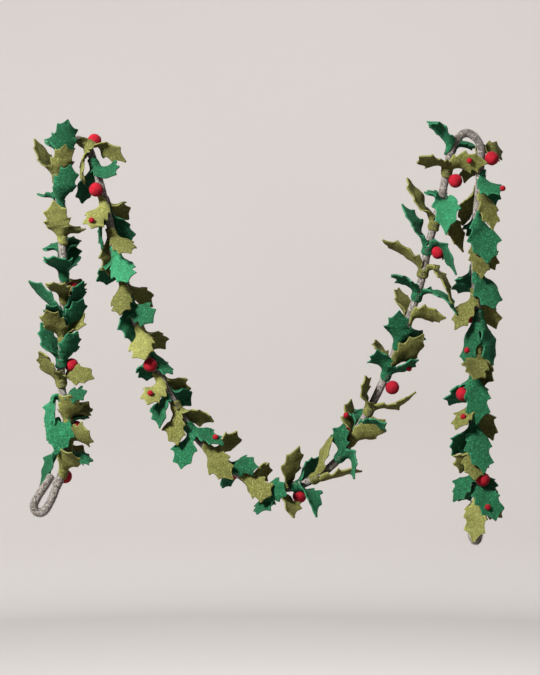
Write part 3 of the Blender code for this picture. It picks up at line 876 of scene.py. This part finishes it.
def make_leaf_pair(name, row, frame, material, seed):
    """A double leaf: one felt strip from its first tip, round the rope, to its second tip."""
    draw = random.Random(seed)
    width = row["width"] * MM
    tips = [Vector((row["right_" + n], -row["out_" + n], row["up_" + n])) * MM for n in "12"]
    spines = [
        blade_spine(frame, tip, row["arch_" + n] * MM, row["face_" + n])
        for tip, n in zip(tips, "12")
    ]
    shapes = [BladeShape(width, draw) for _ in tips]
    sections = [
        (middle, across, along, 0, shapes[0].curvature_at(along))
        for middle, across, along in reversed(spines[0])
    ]
    waist = waist_spine(frame, *(frame.azimuth_of(tip) for tip in tips))
    half_way = len(waist) / 2
    sections += [
        (middle, across, 0.0, int(i > half_way), curvature)
        for i, (middle, across, curvature) in enumerate(waist)
    ]
    sections += [
        (middle, -across, along, 1, shapes[1].curvature_at(along))
        for middle, across, along in spines[1]
    ]

    points = []
    edges = []
    tones = []
    # Each blade's tone differs at random, but the pale blades get a higher one, a painted highlight
    blade_tone = [
        draw.uniform(*(PAINTED_HIGHLIGHT_TONES if (name, number) in PAINTED_HIGHLIGHT_BLADES else TONES))
        for number in (1, 2)
    ]
    sides = 2 * len(ACROSS) + 2
    for index, (middle, across, along, blade, curvature) in enumerate(sections):
        before = sections[max(index - 1, 0)][0]
        after = sections[min(index + 1, len(sections) - 1)][0]
        direction = (after - before).normalized()
        across = (across - direction * across.dot(direction)).normalized()
        normal = direction.cross(across)
        shape = shapes[blade]
        forward = -direction if blade == 0 else direction
        top = []
        bottom = []
        for share in ACROSS:
            edge = shape.edge(share)
            half = max(edge.half_width(along), LEAST_HALF_WIDTH)
            neck = WAIST_HALF_WIDTH * (1 - ramp(0.0, 0.16, along))
            half = max(half, neck)
            near, _ = edge.spike_at(along)
            place = middle + bent_across(across, normal, half * share, curvature)
            place += forward * near * abs(share) ** 3 * SPIKE_FORWARD
            place += normal * shape.lift(place, along, share)
            thick = FELT_THICKNESS / 2 * (1 + NAP_SHARE * noise.noise(place / NAP_SIZE))
            thick *= WAIST_SQUEEZE + (1 - WAIST_SQUEEZE) * ramp(0.0, 0.2, along)
            top.append(place + normal * thick)
            bottom.append(place - normal * thick)
        rim_right = (top[-1] + bottom[-1]) / 2 + across * RIM_PROUD
        rim_left = (top[0] + bottom[0]) / 2 - across * RIM_PROUD
        points += [*top, rim_right, *reversed(bottom), rim_left]
        # How much of the painted cut-edge highlight each point takes: some at the outer points, all at
        # the rim
        at_edge = [0.7, *[0.0] * (len(ACROSS) - 2), 0.7]
        edges += [*at_edge, 1.0, *at_edge, 1.0]
        tones += [blade_tone[blade]] * sides
    leaf = mesh_object(
        name,
        points,
        ring_faces(len(sections), sides),
        material,
        [("edge", "FLOAT", edges), ("tone", "FLOAT", tones)],
    )
    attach(leaf, "root")
    area = leaf_area(sections, shapes)
    return leaf


def leaf_area(sections, shapes):
    """Flat area of a double leaf, from its two cut edges."""
    area = 0.0
    for (a, _, along, blade, _), (b, *_) in zip(sections, sections[1:]):
        shape = shapes[blade]
        sides = shape.left.half_width(along) + shape.right.half_width(along)
        area += (b - a).length * max(sides, 2 * WAIST_HALF_WIDTH * (1 - along / 0.16))
    return area


# Berries and beads


def make_ball(name, middle, diameter, material, seed, subdivisions):
    """A felted ball, slightly out of round and dimpled."""
    bpy.ops.mesh.primitive_ico_sphere_add(subdivisions=subdivisions, radius=diameter / 2)
    ball = bpy.context.object
    ball.name = ball.data.name = name
    offset = Vector((seed * 3.7, seed * 1.3, 0.0))
    for vertex in ball.data.vertices:
        outward = vertex.co.normalized()
        swell = noise.noise(outward * 1.3 + offset) * BALL_SWELL
        dimple = noise.noise(outward * 5.0 + offset) * BALL_DIMPLE
        vertex.co = outward * diameter / 2 * (1 + swell + dimple)
        vertex.co += middle
    ball.data.shade_smooth()
    ball.data.materials.append(material)
    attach(ball, "root")
    return ball


def berry_middle(row, coarse, fine):
    """The middle of a berry that sits against the rope."""
    frame = frame_at(row["x"], row["z"], coarse, fine)
    wanted = Vector((row["x"] * MM, 0.0, row["z"] * MM))
    sideways = (wanted - frame.place).dot(frame.side)
    sideways = min(max(sideways, -BERRY_SEAT), BERRY_SEAT)
    depth = math.sqrt(BERRY_SEAT**2 - sideways**2)
    sign = 1.0 if row["side"] == "front" else -1.0
    return frame.place + frame.side * sideways + FRONT * depth * sign


def on_leaf(leaf, x, z):
    """A point on the front face of a leaf, nearest to a place in the picture."""
    best = None
    for vertex in leaf.data.vertices:
        away = math.hypot(vertex.co.x - x * MM, vertex.co.z - z * MM)
        away += vertex.co.y * 0.3
        if best is None or away < best[0]:
            best = (away, vertex)
    return best[1].co + FRONT * BEAD_DIAMETER * 0.42


# Sewing thread

THREAD_RADIUS = 0.32 * MM
THREAD_SIDES = 6
STITCH_ARC = math.radians(16)
STITCH_SPACING = 3.2 * MM
STITCH_SLANT = 0.9 * MM
STITCH_SUNK = 1.6 * MM
LOOP_STITCHES = 4
LOOP_STITCH_SLANT = 1.6 * MM

# A whip stitch's way over both ropes: on the near or the far one, at how many degrees round it
# from the line between them, and how many mm under its surface
WHIP_STITCH = (
    ("near", 92, 1.4),
    ("near", 82, 0.0),
    ("near", 60, 0.0),
    ("near", 40, 0.0),
    ("far", 140, 0.0),
    ("far", 120, 0.0),
    ("far", 98, 0.0),
    ("far", 88, 1.4),
)


def waist_stitches(row, frame):
    """Three short stitches over the fold that hold a double leaf to the rope."""
    azimuths = [
        frame.azimuth_of(Vector((row["right_" + n], -row["out_" + n], row["up_" + n])))
        for n in "12"
    ]
    middle = azimuths[0] + math.remainder(azimuths[1] - azimuths[0], math.tau) / 2
    proud = WAIST_RADIUS + FELT_THICKNESS / 2 + THREAD_RADIUS * 0.7
    found = []
    for number in (-1, 0, 1):
        along = frame.tangent * STITCH_SPACING * number
        stitch = []
        for share in (-1.15, -1.0, -0.5, 0.0, 0.5, 1.0, 1.15):
            radial = frame.radial(middle + STITCH_ARC * share)
            sunk = STITCH_SUNK if abs(share) > 1 else 0.0
            slant = frame.tangent * STITCH_SLANT * share
            stitch.append(frame.place + along + slant + radial * (proud - sunk))
        found.append(stitch)
    return found


def loop_stitches(seam, tilt, turn, extra):
    """Whip stitches, front and back, that join a loop's end to the rope beside it."""
    loop = loop_points(seam, tilt, turn, extra)
    beside = (loop[-1] - seam).normalized()
    found = []
    for facing in (1, -1):
        down = (loop[0] - seam).normalized()
        outward = down.cross(beside).normalized() * facing
        for number in range(LOOP_STITCHES):
            share = 0.12 + 0.24 * number
            centres = {"near": seam.lerp(loop[0], share), "far": loop[-1].lerp(loop[-2], share)}
            slant = down * LOOP_STITCH_SLANT
            stitch = []
            for rope, degrees, sunk in WHIP_STITCH:
                angle = math.radians(degrees)
                ray = beside * math.cos(angle) + outward * math.sin(angle)
                reach = ROPE_RADIUS + THREAD_RADIUS * 0.8 - sunk * MM
                lean = (len(stitch) / (len(WHIP_STITCH) - 1) - 0.5) * facing
                stitch.append(centres[rope] + ray * reach + slant * lean)
            found.append(stitch)
    return found


def make_thread(stitches, material):
    points = []
    faces = []
    for stitch in stitches:
        first = len(points)
        for index, middle in enumerate(stitch):
            before, after = stitch[max(index - 1, 0)], stitch[min(index + 1, len(stitch) - 1)]
            tangent = (after - before).normalized()
            side = tangent.orthogonal().normalized() if index == 0 else side
            side = (side - tangent * side.dot(tangent)).normalized()
            for i in range(THREAD_SIDES):
                angle = math.tau * i / THREAD_SIDES
                outward = side * math.cos(angle) + tangent.cross(side) * math.sin(angle)
                points.append(middle + outward * THREAD_RADIUS)
        for face in ring_faces(len(stitch), THREAD_SIDES):
            faces.append(tuple(first + corner for corner in face))
    thread = mesh_object("sewing_thread", points, faces, material)
    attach(thread, "root")


# Loose fibres

FIBRE_WIDTH = 0.22 * MM
# How many stand on each piece, how long they get, and their seed
LEAF_FIBRES = (900, 2.6 * MM, 11)
ROPE_FIBRES = (16000, 3.2 * MM, 12)
BALL_FIBRES = (260, 1.5 * MM, 13)


def make_fuzz(name, hosts, slot, material, per_host, reach, seed):
    """Loose wool fibres that stand off the surface of some pieces, as thin bent slivers."""
    draw = random.Random(seed)
    points = []
    faces = []
    for host in hosts:
        vertices = host.data.vertices
        for _ in range(per_host):
            vertex = vertices[draw.randrange(len(vertices))]
            lean = Vector([draw.gauss(0.0, 0.55) for _ in range(3)])
            rise = (vertex.normal + lean).normalized()
            if rise.dot(vertex.normal) < 0.15:
                continue
            width = rise.cross(Vector([draw.gauss(0.0, 1.0) for _ in range(3)])).normalized()
            length = reach * draw.uniform(0.35, 1.0)
            root = vertex.co - vertex.normal * 0.2 * MM
            bend = Vector([draw.gauss(0.0, 0.35) for _ in range(3)]) * length
            knee = root + rise * length * 0.55
            first = len(points)
            points += [
                root - width * FIBRE_WIDTH / 2,
                root + width * FIBRE_WIDTH / 2,
                knee + width * FIBRE_WIDTH / 2,
                knee - width * FIBRE_WIDTH / 2,
                root + rise * length + bend,
            ]
            faces.append((first, first + 1, first + 2, first + 3))
            faces.append((first + 3, first + 2, first + 4))
    # The loose fibres carry the full edge mark, so on the leaves they take the painted cut-edge highlight
    # too
    marks = [1.0] * len(points)
    fuzz = mesh_object(
        name, points, faces, material, [("tone", "FLOAT", marks), ("edge", "FLOAT", marks)]
    )
    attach(fuzz, "root")


# Stage

FLOOR_HEIGHT = -1.52
STAGE_RADIUS = 4.6
STAGE_MIDDLE = Vector((0.34, 0.0, 0.0))
COVE_RADIUS = 0.8
STAGE_WALL = 4.5
STAGE_SIDES = 96
WALL_LIGHTS = 6

# Painted shade: the floor is darkened round the key's foot, where its light pools, between these
# distances from it
KEY_PLACE = Vector((-1.5, -2.2, 1.5))
KEY_FOOT = (KEY_PLACE.x, KEY_PLACE.y, FLOOR_HEIGHT)
KEY_POOL = (1.8, 5.2)
FLOOR_PAINTED_SHADE_UNDER_KEY = (0.18, 0.174, 0.17, 1.0)
FLOOR_COLOUR = (0.72, 0.697, 0.683, 1.0)
WALL_COLOUR = (0.64, 0.611, 0.598, 1.0)
BOUNCE_COLOUR = (0.34, 0.326, 0.32, 1.0)

LIGHT_COLUMNS = ("name", "place", "size", "power", "colour")
LIGHTS = (
    ("key", KEY_PLACE, 0.7, 430.0, (1.0, 0.985, 0.96)),
    ("fill", Vector((2.2, -2.6, 0.2)), 2.0, 4.0, (1.0, 0.99, 0.98)),
    ("rear", Vector((2.4, 2.0, 1.0)), 1.6, 32.0, (1.0, 0.99, 0.98)),
    ("top", Vector((0.2, 0.3, 2.4)), 2.0, 10.0, (1.0, 1.0, 1.0)),
)


def make_stage():
    """A round studio: a pale floor, with painted shade where the key's light pools, that sweeps up into a
    wall.
    """
    profile = [(0.0, FLOOR_HEIGHT), (1.5, FLOOR_HEIGHT), (3.0, FLOOR_HEIGHT)]
    for step in range(13):
        angle = math.radians(90) * step / 12
        out = STAGE_RADIUS - COVE_RADIUS + COVE_RADIUS * math.sin(angle)
        profile.append((out, FLOOR_HEIGHT + COVE_RADIUS * (1 - math.cos(angle))))
    profile.append((STAGE_RADIUS, FLOOR_HEIGHT + STAGE_WALL))
    points = []
    for out, height in profile:
        for i in range(STAGE_SIDES):
            angle = math.tau * i / STAGE_SIDES
            reach = max(out, 0.01)
            spot = Vector((math.cos(angle) * reach, math.sin(angle) * reach, height))
            points.append(STAGE_MIDDLE + spot)
    n = Nodes("backdrop")
    place = n.add("ShaderNodeTexCoord").outputs["Object"]
    height = n.add("ShaderNodeSeparateXYZ", Vector=place).outputs["Z"]
    seen = n.add("ShaderNodeLightPath").outputs["Is Camera Ray"]
    sweep = n.spread(height, FLOOR_HEIGHT, FLOOR_HEIGHT + COVE_RADIUS * 0.4)
    away = n.add("ShaderNodeVectorMath", {"operation": "DISTANCE"})
    n.feed(away.inputs[0], place)
    away.inputs[1].default_value = KEY_FOOT
    # Painted shade: the floor darkens towards the key's foot, where its light pools
    from_key = n.spread(away.outputs["Value"], *KEY_POOL)
    floor = n.mix(from_key, FLOOR_PAINTED_SHADE_UNDER_KEY, FLOOR_COLOUR)
    colour = n.mix(sweep, floor, WALL_COLOUR)
    colour = n.mix(seen, BOUNCE_COLOUR, colour)
    n.feed(n.shader.inputs["Base Color"], colour)
    n.shader.inputs["Roughness"].default_value = 1.0
    n.shader.inputs["Specular IOR Level"].default_value = 0.0
    faces = ring_faces(len(profile), STAGE_SIDES, capped=False)
    faces.append(tuple(reversed(range(STAGE_SIDES))))
    stage = mesh_object("studio_backdrop", points, faces, n.material)


def make_light(name, place, size, power, colour, target):
    data = bpy.data.lights.new(name, "AREA")
    data.shape = "SQUARE"
    data.size = size
    data.energy = power
    data.color = colour
    light = bpy.data.objects.new(name, data)
    light.location = place
    light.rotation_euler = (target - place).to_track_quat("-Z", "Y").to_euler()
    light.visible_camera = False
    bpy.context.scene.collection.objects.link(light)


def make_lights():
    """A soft key from the upper left, a weak fill, a rear light, and lamps for the backdrop."""
    for row in rows(LIGHT_COLUMNS, LIGHTS):
        make_light(target=CAMERA_AIM, **row)
    for number in range(WALL_LIGHTS):
        angle = math.radians(90) + math.tau * number / WALL_LIGHTS
        outward = Vector((math.cos(angle), math.sin(angle), 0.0))
        place = STAGE_MIDDLE + outward * 2.4 + UP * 1.9
        target = STAGE_MIDDLE + outward * STAGE_RADIUS - UP * 0.4
        power = 10.5 if number == 0 else 3.0
        make_light(f"wall_{number}", place, 1.6, power, (1.0, 0.985, 0.975), target)
    world = bpy.data.worlds.new("studio")
    bpy.context.scene.world = world
    world.use_nodes = True
    background = world.node_tree.nodes["Background"]
    background.inputs["Color"].default_value = (1.0, 0.98, 0.965, 1.0)
    background.inputs["Strength"].default_value = 0.12
    bpy.context.scene.view_settings.view_transform = "Standard"


def main():
    make_camera()
    fine, coarse = rope_lines()
    wool = rope_material()
    rope = make_rope(fine, wool)
    felts = {felt: felt_material(f"{felt}_felt", *colours) for felt, colours in FELTS.items()}
    leaves = {}
    stitches = []
    for prefix, table in (("leaf_pair", LEAF_PAIRS), ("tucked_pair", TUCKED_PAIRS)):
        for number, row in enumerate(rows(PAIR_COLUMNS, table), 1):
            node = f"{prefix}_{number:02d}"
            at = frame_at(row["x"], row["z"], coarse, fine)
            seed = number + (100 if prefix == "tucked_pair" else 0)
            leaf = make_leaf_pair("felt_" + node, row, at, felts[row["felt"]], seed)
            leaves[node] = leaf
            stitches += waist_stitches(row, at)
            if prefix == "leaf_pair":
                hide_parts(node)
    ends = [Vector((ROPE_ROUTE[i][0] * MM, 0.0, ROPE_ROUTE[i][1] * MM)) for i in (0, -1)]
    stitches += loop_stitches(ends[0], LEFT_LOOP_TILT, LEFT_LOOP_TURN, LEFT_LOOP_EXTRA)
    stitches += loop_stitches(ends[1], RIGHT_LOOP_TILT, RIGHT_LOOP_TURN, RIGHT_LOOP_EXTRA)
    make_thread(stitches, thread_material())
    red = berry_material()
    balls = []
    for prefix, table in (("berry", BERRIES), ("tucked_berry", TUCKED_BERRIES)):
        for number, row in enumerate(rows(BERRY_COLUMNS, table), 1):
            node = f"{prefix}_{number:02d}"
            middle = berry_middle(row, coarse, fine)
            ball = make_ball("felt_" + node, middle, BERRY_DIAMETER, red, number, 5)
            balls.append(ball)
            if prefix == "berry":
                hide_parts(node)
    for number, row in enumerate(rows(BEAD_COLUMNS, BEADS), 1):
        middle = on_leaf(leaves[row["leaf"]], row["x"], row["z"])
        bead = make_ball(f"felt_bead_{number:02d}", middle, BEAD_DIAMETER, red, number + 40, 4)
        balls.append(bead)
    for felt in felts:
        hosts = [leaf for leaf in leaves.values() if leaf.data.materials[0] == felts[felt]]
        make_fuzz(f"loose_fibres_{felt}", hosts, felt, felts[felt], *LEAF_FIBRES)
    make_fuzz("loose_fibres_rope", [rope], "rope", wool, *ROPE_FIBRES)
    make_fuzz("loose_fibres_berry", balls, "berry", red, *BALL_FIBRES)
    make_stage()
    make_lights()


main()
